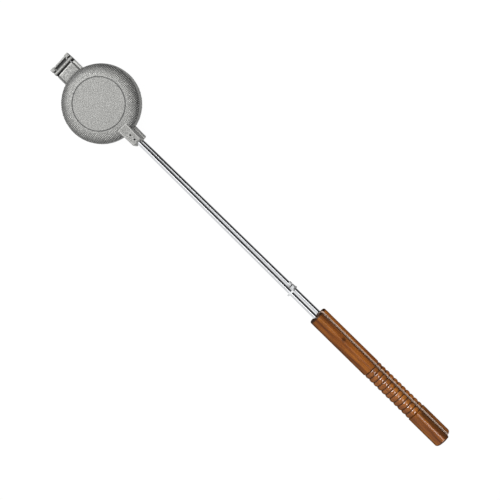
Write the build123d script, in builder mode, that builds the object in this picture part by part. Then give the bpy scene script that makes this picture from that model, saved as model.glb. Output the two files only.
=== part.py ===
"""Long-handled round sandwich iron: two hinged cast pans on rods, with a split turned handle.

Millimetres, +Z up, +X from the pans towards the handle. The origin is the centre of the flat
outer face of the bottom pan, so the closed iron lies on its bottom pan. The tool axis runs along
X in the parting plane. The two halves are one pattern: each piece of the bottom half is the piece
of the top half turned half a turn about the tool axis, apart from the hinge and the latch. The
rods part a little towards the handle, each by a small turn about its socket pins.
"""

import os
from math import cos, radians, sin, tan

from build123d import *

# Pan, one half
pan_r = 53.0
pan_depth = 18.0
face_r = 36.0
rim_h = 8.0
rim_draft = 0.7
pan_wall = 3.2
pan_floor = 3.4
parting_gap = 0.3
rim_edge_r = 0.9
ring_r = 35.3
ring_w = 1.2
ring_depth = 0.6

# Socket that holds the rod, one on each pan
socket_w = 14.6
socket_h = 15.6
socket_l = 19.5
socket_side = 0.9
socket_root = 4.0
socket_start_drop = 0.5
socket_end_draft = 2.0
socket_edge_r = 1.7
bore_wall = 0.8
bore_end_gap = 0.4

# Rods
rod_r = 3.175
rod_rise = 7.2
rod_side = 0.6
rod_splay = 0.3
rod_chamfer = 0.6
rod_fit = 0.04

# Drive pins through socket and rod
pin_r = 1.19
pin_fit = 0.03
pin_recess = 1.5
pin_seat_wall = 2.0
pin_inset = 7.0
pin_pitch = 8.0
pin_count = 2

# Hinge: a cast bar on the bottom pan, a hook on the top pan
hinge_reach = 18.0
bar_r = 2.0
hinge_half_w = 16.0
arm_w = 3.5
arm_h = 8.5
arm_relief = 0.8
arm_relief_start = 2.0
arm_edge_r = 1.2
web_drop = 1.2
trough_depth = 5.5
ear_w = 5.1
ear_gap = 1.4
ear_l = 5.05
ear_rise = 2.1
ear_drop = 5.5
ear_edge_r = 0.8
slot_l = 3.2
tab_half_w = 12.2
tab_h = 5.2
tab_side_r = 0.8
hook_half_w = 10.6
cheek_w = 1.1
hook_wall = 2.6
hook_reach = 5.5
hook_lip_w = 2.3
hook_lip_rise = 1.6
hook_clearance = 0.3
tab_edge_r = 1.2
lip_round_share = 0.45
hook_round_share = 0.85
hinge_bite = 2.0

# Handle, turned as one piece and split lengthwise
rod_free_l = 324.5
handle_l = 235.0
bottom_handle_short = 2.4
handle_front_r = 13.3
handle_rear_r = 13.6
handle_front_round = 2.4
handle_rear_round = 3.4
handle_gap = 2.2
split_angle = 43.0
handle_bore_depth = 78.0
handle_bore_fit = 0.04
bead_start = 101.0
bead_count = 11
bead_pitch = 7.4
bead_r = 13.25
valley_r = 11.9
end_groove_w = 1.0

# Latch on the bottom rod
latch_to_handle = 56.2
sleeve_l = 9.4
sleeve_wall = 0.75
run_clearance = 0.08
crimp_w = 1.5
crimp_slope = 0.35
crimp_depth = 0.45
crimp_side_gap = 0.25
finger_w = 2.6
flange_r = 4.9
finger_t = 1.5
finger_clearance = 0.4
finger_bend_turn = 4.0
finger_tip_angle = 118.0
finger_bend_angle = 78.0
finger_root_low_angle = -12.0
finger_root_high_angle = 28.0

# Places that follow from the sizes
overrun = 5.0
parting_z = pan_depth
half_base_z = parting_z + parting_gap / 2
cavity_r = pan_r - pan_wall
socket_start_x = face_r + socket_root
socket_end_x = pan_r + socket_l
bar_x = -(pan_r + hinge_reach)
handle_x = socket_end_x + rod_free_l
latch_x = handle_x - latch_to_handle
arm_inner = hinge_half_w - arm_w
ear_inner = hinge_half_w - ear_w
tab_end_x = bar_x + bar_r + slot_l
hinge_root_x = hinge_bite - (pan_r**2 - hinge_half_w**2) ** 0.5
bore_end_x = pan_r + bore_wall
rod_start_x = bore_end_x + bore_end_gap
tool_axis = Axis((0, 0, parting_z), (1, 0, 0))
pins_mid_x = socket_end_x - pin_inset - pin_pitch * (pin_count - 1) / 2
splay_axis = Axis((pins_mid_x, -rod_side, 0), (0, 0, 1))
bottom_rod_z = parting_z - rod_rise


def turned_over(solid):
    """A piece of the top half, turned half a turn about the tool axis to the bottom half."""
    return solid.rotate(tool_axis, 180)


def splayed(solid):
    """A piece that is built straight along the top rod, turned sideways with it about its pins."""
    return solid.rotate(splay_axis, -rod_splay)


def dish_section(outer_r, base_z, top_z):
    """Half section of a dish: a drafted rim, then an elliptical shoulder to a flat face."""
    rim_z = parting_z + rim_h
    rim_r = outer_r - rim_draft
    with BuildSketch(Plane.XZ) as section:
        with BuildLine():
            Polyline((0, top_z), (0, base_z), (outer_r, base_z), (rim_r, rim_z))
            EllipticalCenterArc(
                (face_r, rim_z), rim_r - face_r, top_z - rim_z, start_angle=0, arc_size=90
            )
            Line((face_r, top_z), (0, top_z))
        make_face()
    return section.sketch


# The pattern of one half, in the place of the top half: a full dish with its socket
with BuildPart() as half_pattern:
    revolve(dish_section(pan_r, half_base_z, parting_z + pan_depth), axis=Axis.Z)
    fillet(half_pattern.edges().group_by(Axis.Z)[0], rim_edge_r)
    with BuildSketch(Plane.XZ):
        with Locations((ring_r, parting_z + pan_depth)):
            Rectangle(ring_w, 2 * ring_depth)
    revolve(axis=Axis.Z, mode=Mode.SUBTRACT)

# The socket block runs up the shoulder and carries the rod. Its end leans back by the draft
with BuildPart() as socket_block:
    with BuildSketch(Plane.XZ.offset(socket_side)):
        with BuildLine():
            Polyline(
                (socket_start_x, half_base_z),
                (socket_start_x, parting_z + pan_depth - socket_start_drop),
                (pan_r, parting_z + socket_h),
                (socket_end_x - socket_end_draft, parting_z + socket_h),
                (socket_end_x, half_base_z),
                close=True,
            )
        make_face()
    extrude(amount=socket_w / 2, both=True)
    upper_edges = socket_block.edges().filter_by(Axis.X).group_by(Axis.Z)[-1]
    end_face = socket_block.faces().sort_by(Axis.X)[-1]
    fillet(upper_edges + end_face.edges().sort_by(Axis.Z)[1:], socket_edge_r)

# The cooking space of one half
with BuildPart() as cavity:
    revolve(dish_section(cavity_r, parting_z, parting_z + pan_depth - pan_floor), axis=Axis.Z)

# The blind bore for the rod and the two pin holes that cross it
with BuildPart() as rod_bore:
    with BuildSketch(Plane.YZ.offset(bore_end_x)):
        with Locations((-rod_side, parting_z + rod_rise)):
            Circle(rod_r + rod_fit)
    extrude(amount=socket_end_x + overrun - bore_end_x)
rod_seat = splayed(rod_bore.part)

with BuildPart() as pin_holes:
    with BuildSketch(Plane.XY.offset(parting_z + pin_seat_wall)):
        for pin_number in range(pin_count):
            with Locations((socket_end_x - pin_inset - pin_number * pin_pitch, -rod_side)):
                Circle(pin_r + pin_fit)
    extrude(amount=socket_h + overrun)

# The tab of the top pan ends in an open hook round the hinge bar, with a cheek at each side
hook_floor_top = parting_z - bar_r - hook_clearance
hook_floor_low = hook_floor_top - hook_wall
hook_inner_x = bar_x - hook_reach
hook_outer_x = hook_inner_x - hook_lip_w
hook_top = parting_z + hook_lip_rise
tab_floor_x = tab_end_x + hook_wall
with BuildPart() as tab_and_hook:
    with BuildSketch(Plane.XZ) as hook_section:
        with BuildLine():
            Polyline(
                (tab_floor_x, half_base_z),
                (tab_end_x, half_base_z),
                (tab_end_x, hook_floor_top),
                (hook_inner_x, hook_floor_top),
                (hook_inner_x, hook_top),
                (hook_outer_x, hook_top),
                (hook_outer_x, hook_floor_low),
                (tab_floor_x, hook_floor_low),
                close=True,
            )
        make_face()
        fillet(hook_section.vertices().group_by(Axis.Y)[-1], hook_lip_w * lip_round_share)
        fillet(hook_section.vertices().group_by(Axis.Y)[0], hook_wall * hook_round_share)
    extrude(amount=hook_half_w, both=True)
    with BuildSketch(Plane.XZ) as tab_section:
        with Locations(((tab_end_x + hinge_root_x) / 2, half_base_z + (tab_h - parting_gap / 2) / 2)):
            Rectangle(hinge_root_x - tab_end_x, tab_h - parting_gap / 2)
        fillet(tab_section.vertices().group_by(Axis.Y)[-1].sort_by(Axis.X)[0], tab_edge_r)
    extrude(amount=tab_half_w, both=True)
    fillet(tab_and_hook.edges().filter_by(Axis.X).group_by(Axis.Z)[-1], tab_side_r)
    for cheek_start_y in (-hook_half_w, hook_half_w - cheek_w):
        with BuildSketch(Plane.XZ.offset(-cheek_start_y)):
            with Locations(((hook_inner_x + bar_x) / 2, (hook_floor_top + parting_z) / 2)):
                Rectangle(bar_x - hook_inner_x, parting_z - hook_floor_top)
            with Locations((bar_x, parting_z)):
                Circle(bar_r + hook_clearance, mode=Mode.SUBTRACT)
        extrude(amount=-cheek_w)

# Top pan: the half pattern with its socket, tab and hook
with BuildPart() as top_pan:
    add(half_pattern.part)
    add(socket_block.part)
    add(tab_and_hook.part)
    add(cavity.part, mode=Mode.SUBTRACT)
    add(rod_seat, mode=Mode.SUBTRACT)
    add(pin_holes.part, mode=Mode.SUBTRACT)

# Bottom pan: the half pattern turned over, with two arms that carry the hinge bar and a web
# between them that keeps clear of the hook's sweep. Each arm has a wider foot that rises into an
# ear at its end, and the ears stop the tab when the iron is open
arm_top = parting_z - parting_gap / 2
arm_low = parting_z - arm_h
trough_z = parting_z - trough_depth
ear_x = bar_x - bar_r - ear_gap
ear_end_x = ear_x - ear_l
ear_top = parting_z + ear_rise
hook_sweep_r = ((hook_reach + hook_lip_w) ** 2 + (parting_z - hook_floor_low) ** 2) ** 0.5
web_top = parting_z - web_drop
relief_x = tab_end_x + arm_relief_start
with BuildPart() as hinge_arms:
    with BuildSketch(Plane.XZ.offset(arm_inner)) as arm_section:
        with BuildLine():
            Polyline(
                (hinge_root_x, arm_top),
                (tab_end_x, arm_top),
                (tab_end_x, trough_z),
                (bar_x + bar_r, trough_z),
                (bar_x + bar_r, parting_z),
                (bar_x - bar_r, parting_z),
                (bar_x - bar_r, trough_z),
                (ear_x, trough_z),
                (ear_x, ear_top),
                (ear_end_x, ear_top),
                (ear_end_x, parting_z - ear_drop),
                (bar_x, arm_low),
                (hinge_root_x, arm_low),
                close=True,
            )
        make_face()
        fillet(arm_section.vertices().group_by(Axis.Y)[-1], ear_edge_r)
    extrude(amount=arm_w)
    outer_edges = hinge_arms.edges().filter_by(Axis.X).group_by(Axis.Y)[0]
    fillet(outer_edges.filter_by_position(Axis.Z, web_top, (arm_top + parting_z) / 2), arm_edge_r)
    with BuildSketch(Plane.XZ.offset(arm_inner)):
        with Locations(((relief_x + hinge_root_x) / 2, (arm_low + arm_top) / 2)):
            Rectangle(hinge_root_x - relief_x, arm_top - arm_low)
    extrude(amount=arm_relief, mode=Mode.SUBTRACT)
    with BuildSketch(Plane.XZ.offset(ear_inner)) as ear_section:
        with BuildLine():
            Polyline(
                (hinge_root_x, trough_z),
                (ear_x, trough_z),
                (ear_x, ear_top),
                (ear_end_x, ear_top),
                (ear_end_x, parting_z - ear_drop),
                (bar_x, arm_low),
                (hinge_root_x, arm_low),
                close=True,
            )
        make_face()
        fillet(ear_section.vertices().group_by(Axis.Y)[-1], ear_edge_r)
    extrude(amount=ear_w)
    mirror(about=Plane.XZ)
    with BuildSketch(Plane.XZ):
        with Locations((bar_x, parting_z)):
            Circle(bar_r)
    extrude(amount=hinge_half_w, both=True)
    with BuildSketch(Plane.XZ):
        with Locations(((bar_x + hinge_root_x) / 2, (arm_low + web_top) / 2)):
            Rectangle(hinge_root_x - bar_x, web_top - arm_low)
        with Locations((bar_x, parting_z)):
            Circle(hook_sweep_r + hook_clearance, mode=Mode.SUBTRACT)
    extrude(amount=arm_inner + arm_relief, both=True)

with BuildPart() as bottom_pan:
    add(turned_over(half_pattern.part))
    add(turned_over(socket_block.part))
    add(hinge_arms.part)
    add(turned_over(cavity.part), mode=Mode.SUBTRACT)
    add(turned_over(rod_seat), mode=Mode.SUBTRACT)
    add(turned_over(pin_holes.part), mode=Mode.SUBTRACT)

# Drive pins of the top half, sunk a little below the socket's face
with BuildPart() as top_socket_pins:
    with BuildSketch(Plane.XY.offset(parting_z + pin_seat_wall)):
        for pin_number in range(pin_count):
            with Locations((socket_end_x - pin_inset - pin_number * pin_pitch, -rod_side)):
                Circle(pin_r)
    extrude(amount=socket_h - pin_recess - pin_seat_wall)

with BuildPart() as bottom_socket_pins:
    add(turned_over(top_socket_pins.part))

# Rods, from the socket into the handle, built straight and then splayed
rod_end_x = handle_x + handle_bore_depth - bore_end_gap
with BuildPart() as straight_rod:
    with BuildSketch(Plane.YZ.offset(rod_start_x)):
        with Locations((-rod_side, parting_z + rod_rise)):
            Circle(rod_r)
    extrude(amount=rod_end_x - rod_start_x)
    chamfer(straight_rod.edges().filter_by(GeomType.CIRCLE), rod_chamfer)

with BuildPart() as top_rod:
    add(splayed(straight_rod.part))
    add(pin_holes.part, mode=Mode.SUBTRACT)

# The bottom rod has a shallow groove that the latch's sleeve is pressed into
crimp_x = latch_x + sleeve_l / 2
latch_axis = Axis((0, rod_side, bottom_rod_z), (1, 0, 0))


def on_bottom_rod(solid):
    """A piece that is built straight about the bottom rod, turned sideways with it."""
    return turned_over(splayed(turned_over(solid)))


with BuildPart() as latch_groove:
    with BuildSketch(Plane.XZ.offset(-rod_side)):
        with Locations((crimp_x, bottom_rod_z + rod_r)):
            Rectangle(crimp_w + 2 * crimp_side_gap, 2 * crimp_depth)
    revolve(axis=latch_axis)

with BuildPart() as bottom_rod:
    add(turned_over(top_rod.part))
    add(on_bottom_rod(latch_groove.part), mode=Mode.SUBTRACT)

# Handle: a turned length with beads, split by a plane that is turned about the tool axis
bead_start_x = handle_x + bead_start
bead_end_x = bead_start_x + bead_count * bead_pitch
front_z = parting_z + handle_front_r
rear_z = parting_z + handle_rear_r
valley_z = parting_z + valley_r
bead_z = parting_z + bead_r
split_normal = Vector(0, -sin(radians(split_angle)), cos(radians(split_angle)))
split_plane = Plane(
    origin=Vector(0, 0, parting_z) + split_normal * (handle_gap / 2),
    x_dir=(1, 0, 0),
    z_dir=split_normal,
)


with BuildPart() as handle_bore:
    with BuildSketch(Plane.YZ.offset(handle_x - overrun)):
        with Locations((-rod_side, parting_z + rod_rise)):
            Circle(rod_r + handle_bore_fit)
    extrude(amount=overrun + handle_bore_depth)


def half_handle(end_x):
    """The top half of a turned handle that ends at end_x, with the blind bore for its rod."""
    with BuildPart() as half:
        with BuildSketch(Plane.XZ):
            with BuildLine():
                Line((handle_x, parting_z), (handle_x, front_z - handle_front_round))
                CenterArc(
                    (handle_x + handle_front_round, front_z - handle_front_round),
                    handle_front_round,
                    start_angle=180,
                    arc_size=-90,
                )
                Polyline(
                    (handle_x + handle_front_round, front_z),
                    (bead_start_x - end_groove_w, front_z),
                    (bead_start_x, valley_z),
                )
                for bead_number in range(bead_count):
                    bead_x = bead_start_x + bead_number * bead_pitch
                    ThreePointArc(
                        (bead_x, valley_z),
                        (bead_x + bead_pitch / 2, bead_z),
                        (bead_x + bead_pitch, valley_z),
                    )
                Polyline(
                    (bead_end_x, valley_z),
                    (bead_end_x + end_groove_w, rear_z),
                    (end_x - handle_rear_round, rear_z),
                )
                CenterArc(
                    (end_x - handle_rear_round, rear_z - handle_rear_round),
                    handle_rear_round,
                    start_angle=90,
                    arc_size=-90,
                )
                Polyline(
                    (end_x, rear_z - handle_rear_round),
                    (end_x, parting_z),
                    (handle_x, parting_z),
                )
            make_face()
        revolve(axis=tool_axis)
        split(bisect_by=split_plane, keep=Keep.TOP)
        add(splayed(handle_bore.part), mode=Mode.SUBTRACT)
    return half.part


with BuildPart() as top_handle:
    add(half_handle(handle_x + handle_l))

with BuildPart() as bottom_handle:
    add(turned_over(half_handle(handle_x + handle_l - bottom_handle_short)))

# Latch: a sleeve that turns on the bottom rod, with a finger that hooks over the top rod
sleeve_in_r = rod_r + run_clearance
sleeve_out_r = sleeve_in_r + sleeve_wall
crimp_half = crimp_w / 2
finger_x = latch_x + sleeve_l
side_at_latch = rod_side + (finger_x - pins_mid_x) * tan(radians(rod_splay))
rod_distance = 2 * (rod_rise**2 + side_at_latch**2) ** 0.5
finger_in_r = rod_distance + rod_r + finger_clearance
finger_out_r = finger_in_r + finger_t


def about_latch(radius, angle):
    """A point in the finger's plane, by radius and angle about the bottom rod."""
    return (
        rod_side + radius * cos(radians(angle)),
        bottom_rod_z + radius * sin(radians(angle)),
    )


with BuildPart() as straight_latch:
    with BuildSketch(Plane.XZ.offset(-rod_side)):
        with BuildLine():
            Polyline(
                (latch_x, bottom_rod_z + sleeve_in_r),
                (crimp_x - crimp_half, bottom_rod_z + sleeve_in_r),
                (crimp_x - crimp_half + crimp_slope, bottom_rod_z + sleeve_in_r - crimp_depth),
                (crimp_x + crimp_half - crimp_slope, bottom_rod_z + sleeve_in_r - crimp_depth),
                (crimp_x + crimp_half, bottom_rod_z + sleeve_in_r),
                (finger_x, bottom_rod_z + sleeve_in_r),
                (finger_x, bottom_rod_z + sleeve_out_r),
                (crimp_x + crimp_half, bottom_rod_z + sleeve_out_r),
                (crimp_x + crimp_half - crimp_slope, bottom_rod_z + sleeve_out_r - crimp_depth),
                (crimp_x - crimp_half + crimp_slope, bottom_rod_z + sleeve_out_r - crimp_depth),
                (crimp_x - crimp_half, bottom_rod_z + sleeve_out_r),
                (latch_x, bottom_rod_z + sleeve_out_r),
                close=True,
            )
        make_face()
    revolve(axis=latch_axis)
    finger_mid_angle = (finger_tip_angle + finger_bend_angle) / 2
    with BuildSketch(Plane.YZ.offset(finger_x)) as finger_section:
        with BuildLine():
            ThreePointArc(
                about_latch(finger_in_r, finger_tip_angle),
                about_latch(finger_in_r, finger_mid_angle),
                about_latch(finger_in_r, finger_bend_angle),
            )
            Polyline(
                about_latch(finger_in_r, finger_bend_angle),
                about_latch(flange_r, finger_root_high_angle),
                about_latch(0, 0),
                about_latch(flange_r, finger_root_low_angle),
                about_latch(finger_out_r, finger_bend_angle - finger_bend_turn),
            )
            ThreePointArc(
                about_latch(finger_out_r, finger_bend_angle - finger_bend_turn),
                about_latch(finger_out_r, finger_mid_angle),
                about_latch(finger_out_r, finger_tip_angle),
            )
            Line(
                about_latch(finger_out_r, finger_tip_angle),
                about_latch(finger_in_r, finger_tip_angle),
            )
        make_face()
        with Locations(about_latch(0, 0)):
            Circle(flange_r)
            Circle(sleeve_in_r, mode=Mode.SUBTRACT)
    extrude(amount=finger_w)

with BuildPart() as latch:
    add(on_bottom_rod(straight_latch.part))

pieces = {
    "top_pan": top_pan,
    "bottom_pan": bottom_pan,
    "top_rod": top_rod,
    "bottom_rod": bottom_rod,
    "top_socket_pins": top_socket_pins,
    "bottom_socket_pins": bottom_socket_pins,
    "top_handle": top_handle,
    "bottom_handle": bottom_handle,
    "latch": latch,
}
os.makedirs("parts", exist_ok=True)
for node_name, piece in pieces.items():
    piece.part.label = node_name
    export_step(piece.part, f"parts/{node_name}.step")
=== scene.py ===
# %% [markdown]
# # Dressing a long-handled sandwich iron
#
# The iron is two round cast pans on plated rods, with a turned handle that is split lengthwise. Its
# shapes come ready made, in metres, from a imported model. This lesson adds what a model of the
# construction leaves out: the pebbled casting skin, the stained grain of the wood and the plating,
# and then a studio to look at them in.

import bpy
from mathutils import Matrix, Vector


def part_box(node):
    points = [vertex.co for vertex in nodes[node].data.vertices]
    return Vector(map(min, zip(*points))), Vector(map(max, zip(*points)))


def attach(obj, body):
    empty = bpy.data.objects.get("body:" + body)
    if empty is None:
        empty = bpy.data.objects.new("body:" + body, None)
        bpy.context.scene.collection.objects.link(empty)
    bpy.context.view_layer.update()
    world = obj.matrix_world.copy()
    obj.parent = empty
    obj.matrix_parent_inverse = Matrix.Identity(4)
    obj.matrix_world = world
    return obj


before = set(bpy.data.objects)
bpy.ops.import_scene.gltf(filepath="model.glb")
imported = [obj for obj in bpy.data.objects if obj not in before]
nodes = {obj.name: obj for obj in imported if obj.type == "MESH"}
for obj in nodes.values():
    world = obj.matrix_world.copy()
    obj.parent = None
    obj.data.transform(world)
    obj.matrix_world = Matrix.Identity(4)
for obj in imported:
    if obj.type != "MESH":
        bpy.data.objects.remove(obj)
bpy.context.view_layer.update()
print("nodes:", ", ".join(sorted(nodes)))

# %% [markdown]
# ## Measures taken from the frame
#
# A place is worked out from the boxes of the loaded pieces wherever a box gives it, so that the looks
# follow the construction if a size changes. Sizes that no box gives, such as the radius of the ring
# groove, are named values in millimetres. The iron lies on its bottom pan with the parting plane
# between the pans level, and the tool axis runs along X in that plane.

# %% Read the places that the finishes need
import math

import bpy
from mathutils import Matrix, Vector

MM = 0.001
pan_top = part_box("top_pan")[1].z
parting_z = pan_top / 2
hook_end_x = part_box("top_pan")[0].x
handle_low, handle_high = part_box("top_handle")
handle_front_x = handle_low.x
handle_rear_x = handle_high.x
pins_low, pins_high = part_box("top_socket_pins")
pin_r = (pins_high.y - pins_low.y) / 2
pin_y = (pins_high.y + pins_low.y) / 2
latch_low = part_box("latch")[0]
print("parting plane at", round(parting_z / MM, 2), "mm, handle from",
      round(handle_front_x / MM, 1), "to", round(handle_rear_x / MM, 1), "mm")

# %% [markdown]
# ## Nothing selected
#
# An operator acts on everything that is selected, and the loaded pieces arrive selected. They are
# deselected before the first new piece is added, or the operators would change them as well.

# %% Deselect the loaded pieces
bpy.ops.object.select_all(action="DESELECT")
print("selected:", len(bpy.context.selected_objects))

# %% [markdown]
# ## A shorthand for nodes
#
# A procedural material is a small tree of nodes. Written out node by node it is long and hard to
# read, so one helper adds a node, sets its properties and its sockets, and links the sockets that
# are given another node's output. Each later helper is a short name for one kind of node, and stands
# where that kind is first needed.

# %% Helpers for nodes


def node(tree, kind, settings=None, **sockets):
    """Adds a node to the tree. A socket gets a plain value, or a link from another node's output.

    A socket goes by its own name or by its number, as i0 or i1.
    """
    made = tree.nodes.new(kind)
    for name, value in (settings or {}).items():
        setattr(made, name, value)
    for name, value in sockets.items():
        by_number = name[0] == "i" and name[1:].isdigit()
        socket = made.inputs[int(name[1:]) if by_number else name]
        if isinstance(value, bpy.types.NodeSocket):
            tree.links.new(value, socket)
        else:
            socket.default_value = value
    return made


def math_node(tree, operation, *values):
    """Adds a Math node and gives its output."""
    places = {f"i{number}": value for number, value in enumerate(values)}
    return node(tree, "ShaderNodeMath", {"operation": operation}, **places).outputs[0]


# %% [markdown]
# ## Masks that are told by the place
#
# Painted shade, painted highlights, stain and bare wood could be painted by hand on an image, but an
# image has to be unwrapped first and is only as sharp as its pixels. Here each such place is told by
# its coordinates instead: a mask is 1 in the place and 0 outside it. Masks are multiplied to keep
# what all of them share, and the strongest of several masks is taken to put them side by side. A
# range is a mask with a soft edge, written as the two values that it runs between and what it gives
# at each of them.

# %% Helpers for masks


def above(tree, value, limit):
    """Gives 1 where the value is more than the limit, and 0 elsewhere."""
    return math_node(tree, "GREATER_THAN", value, limit)


def below(tree, value, limit):
    """Gives 1 where the value is less than the limit, and 0 elsewhere."""
    return math_node(tree, "LESS_THAN", value, limit)


def product(tree, *masks):
    """Multiplies masks and shares, so that the result is 0 wherever one of them is."""
    result = masks[0]
    for mask in masks[1:]:
        result = math_node(tree, "MULTIPLY", result, mask)
    return result


def strongest(tree, *masks):
    """Gives the highest of several masks at each point."""
    result = masks[0]
    for mask in masks[1:]:
        result = math_node(tree, "MAXIMUM", result, mask)
    return result


def within(tree, value, low, high):
    """Gives 1 where the value lies between two limits, and 0 elsewhere."""
    return product(tree, above(tree, value, low), below(tree, value, high))


def range_node(tree, value, low, high, to_low=0.0, to_high=1.0):
    """Adds a clamped smooth Map Range node and gives its output."""
    settings = {"interpolation_type": "SMOOTHSTEP"}
    return node(tree, "ShaderNodeMapRange", settings, i0=value, i1=low, i2=high, i3=to_low,
                i4=to_high).outputs[0]


# %% [markdown]
# ## Noise and node groups
#
# Cast metal and wood get their unevenness from noise, which is endless and needs no image. An effect
# that several materials show is built once, as a node group with named sockets, and is then placed
# in each of them.

# %% Helpers for noise and groups


def noise_node(tree, vector, size, detail=4.0, roughness=0.5):
    """Adds a Noise texture whose lumps have this size, and gives its value, round about a half."""
    return node(tree, "ShaderNodeTexNoise", Vector=vector, Scale=1 / size, Detail=detail,
                Roughness=roughness).outputs[0]


def new_group(name, inputs, outputs):
    """Starts a shader node group with named float or vector sockets."""
    group = bpy.data.node_groups.new(name, "ShaderNodeTree")
    for way, sockets in (("INPUT", inputs), ("OUTPUT", outputs)):
        for socket_name, kind in sockets.items():
            group.interface.new_socket(socket_name, in_out=way, socket_type="NodeSocket" + kind)
    return group, group.nodes.new("NodeGroupInput").outputs, group.nodes.new("NodeGroupOutput").inputs


# %% [markdown]
# ## Casting skin, as a shared group
#
# Sand-cast and tumbled aluminium has a fine sparkle of grain with cloudy patches behind it. The pans
# and their pebbles both show it, so it is a node group that is built once. One noise makes the grain
# and one the clouds, and small round cells with the grain on them make the pits. The group puts out
# the first two as masks and the pits as a height.

# %% The casting skin group
GRAIN_SIZE = 0.95 * MM
CLOUD_SIZE = 11 * MM

skin_group, skin_in, skin_out = new_group(
    "casting_skin", {"Vector": "Vector"}, {"Grain": "Float", "Cloud": "Float", "Height": "Float"})
grain = noise_node(skin_group, skin_in["Vector"], GRAIN_SIZE, detail=2.0, roughness=0.6)
cloud = noise_node(skin_group, skin_in["Vector"], CLOUD_SIZE, detail=4.0, roughness=0.55)
pits = node(skin_group, "ShaderNodeTexVoronoi", Vector=skin_in["Vector"], Scale=1 / GRAIN_SIZE).outputs[0]
skin_group.links.new(grain, skin_out["Grain"])
skin_group.links.new(cloud, skin_out["Cloud"])
skin_group.links.new(product(skin_group, grain, pits), skin_out["Height"])


def casting_skin(tree, place):
    """Places the casting skin in a material and gives its Grain, Cloud and Height."""
    return node(tree, "ShaderNodeGroup", {"node_tree": skin_group}, Vector=place).outputs


print("nodes in the casting skin:", len(skin_group.nodes))

# %% [markdown]
# ## A material and its coordinates
#
# Every finish starts in the same way: a material with its Principled shader, and the Object
# coordinates, which are places in the shared frame and ride along when a piece moves. Short names
# for the nodes that split, join and measure vectors make those places easy to work with.

# %% Helpers for materials and coordinates


def new_material(name):
    """Starts a material: its tree, its Principled shader and its Object coordinates."""
    material = bpy.data.materials.new(name)
    material.use_nodes = True
    tree = material.node_tree
    shader = tree.nodes["Principled BSDF"]
    place = node(tree, "ShaderNodeTexCoord").outputs["Object"]
    return material, tree, shader, place


def vector_node(tree, operation, *vectors, gives="Vector"):
    """Adds a Vector Math node and gives its Vector, or the number that it calls Value."""
    places = {f"i{number}": vector for number, vector in enumerate(vectors)}
    return node(tree, "ShaderNodeVectorMath", {"operation": operation}, **places).outputs[gives]


def axes_of(tree, vector):
    """Splits a vector and gives its X, Y and Z."""
    return tuple(node(tree, "ShaderNodeSeparateXYZ", i0=vector).outputs)


def joined(tree, **axes):
    """Joins X, Y and Z into a vector. An axis that isn't given is 0."""
    return node(tree, "ShaderNodeCombineXYZ", **axes).outputs[0]


# %% [markdown]
# ## Coordinates of the pans
#
# The two pans face each other across the parting plane, so the painted shade and highlights lie at like
# places on both.
# One material serves both if it measures each point from that plane. It knows the place along and
# across the tool, the radius from the middle of the pan, the height off the parting plane, and the
# side, which changes its sign below that plane. Each half's socket stands a little to its own side
# of the tool axis, so the distance from the socket's middle is worked out too.

# %% Start the pan material
SOCKET_SIDE = 0.9 * MM

cast_material, tree, shader, place = new_material("cast_aluminium")
skin = casting_skin(tree, place)
x, y, z = axes_of(tree, place)
radius = vector_node(tree, "LENGTH", joined(tree, X=x, Y=y), gives="Value")
from_parting = math_node(tree, "SUBTRACT", z, parting_z)
height = math_node(tree, "ABSOLUTE", from_parting)
side_y = math_node(tree, "MULTIPLY", y, math_node(tree, "SIGN", from_parting))
across = math_node(tree, "ABSOLUTE", y)
from_socket = math_node(tree, "ABSOLUTE", math_node(tree, "ADD", side_y, SOCKET_SIDE))
print("each socket is", round(SOCKET_SIDE / MM, 2), "mm off the tool axis")

# %% [markdown]
# ## Painted shade on the shoulder and in the ring groove
#
# The flat discs, tabs and sockets are an even warm grey. Painted shade darkens the shoulder metal
# between the pebbles, more towards the rim where it turns away from the light, and the ring groove
# round the flat disc all round. Every shaded place goes into one list, and the whole list darkens the
# metal at the end, so that two places that overlap aren't darkened twice.

# %% Painted shade between the pebbles and in the ring groove
SOFT_EDGE = 1.0 * MM
PEBBLE_IN_R = 38.6 * MM
PEBBLE_OUT_R = 51.8 * MM
PEBBLE_LOW_SHARE = 0.47
SHOULDER_SHADE_IN = 0.20
SHOULDER_SHADE_OUT = 0.70
SOCKET_START_X = 42.2 * MM
SOCKET_HALF_W = 7.3 * MM
RING_R = 35.3 * MM
RING_HALF_W = 0.75 * MM
RING_DARK_DEPTH = 1.0 * MM
RING_SHADE = 0.80

pebbles_low = parting_z * PEBBLE_LOW_SHARE
# Painted shade on the shoulder, heavier towards the rim
past_disc = range_node(tree, radius, PEBBLE_IN_R - SOFT_EDGE, PEBBLE_IN_R + SOFT_EDGE)
outward = range_node(tree, radius, PEBBLE_IN_R, PEBBLE_OUT_R, SHOULDER_SHADE_IN, SHOULDER_SHADE_OUT)
above_rim = range_node(tree, height, pebbles_low - SOFT_EDGE, pebbles_low + SOFT_EDGE)
off_socket = strongest(tree, above(tree, from_socket, SOCKET_HALF_W), below(tree, x, SOCKET_START_X))
shoulder_shade = product(tree, past_disc, outward, above_rim, off_socket)
# Painted shade in the ring groove
from_ring = math_node(tree, "ABSOLUTE", math_node(tree, "SUBTRACT", radius, RING_R))
ring_shade = product(tree, below(tree, from_ring, RING_HALF_W), above(tree, height, parting_z - RING_DARK_DEPTH),
                  RING_SHADE)
painted_shade_places = [shoulder_shade, ring_shade]
print("shoulder dark from", round(PEBBLE_IN_R / MM, 1), "to", round(PEBBLE_OUT_R / MM, 1), "mm")

# %% [markdown]
# ## Painted shade round the socket pins
#
# Each pin sits below the face in a small recess. Painted shade darkens the recess over the pin and a
# hair's breadth round it, and fades out just past that. The top pins' places serve the bottom pins
# too, because the side is measured from each half.

# %% Painted shade round the socket pins
PIN_DARK_W = 0.1 * MM
PIN_FADE_W = 0.35 * MM
PIN_RECESS_SHADE = 0.97

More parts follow.
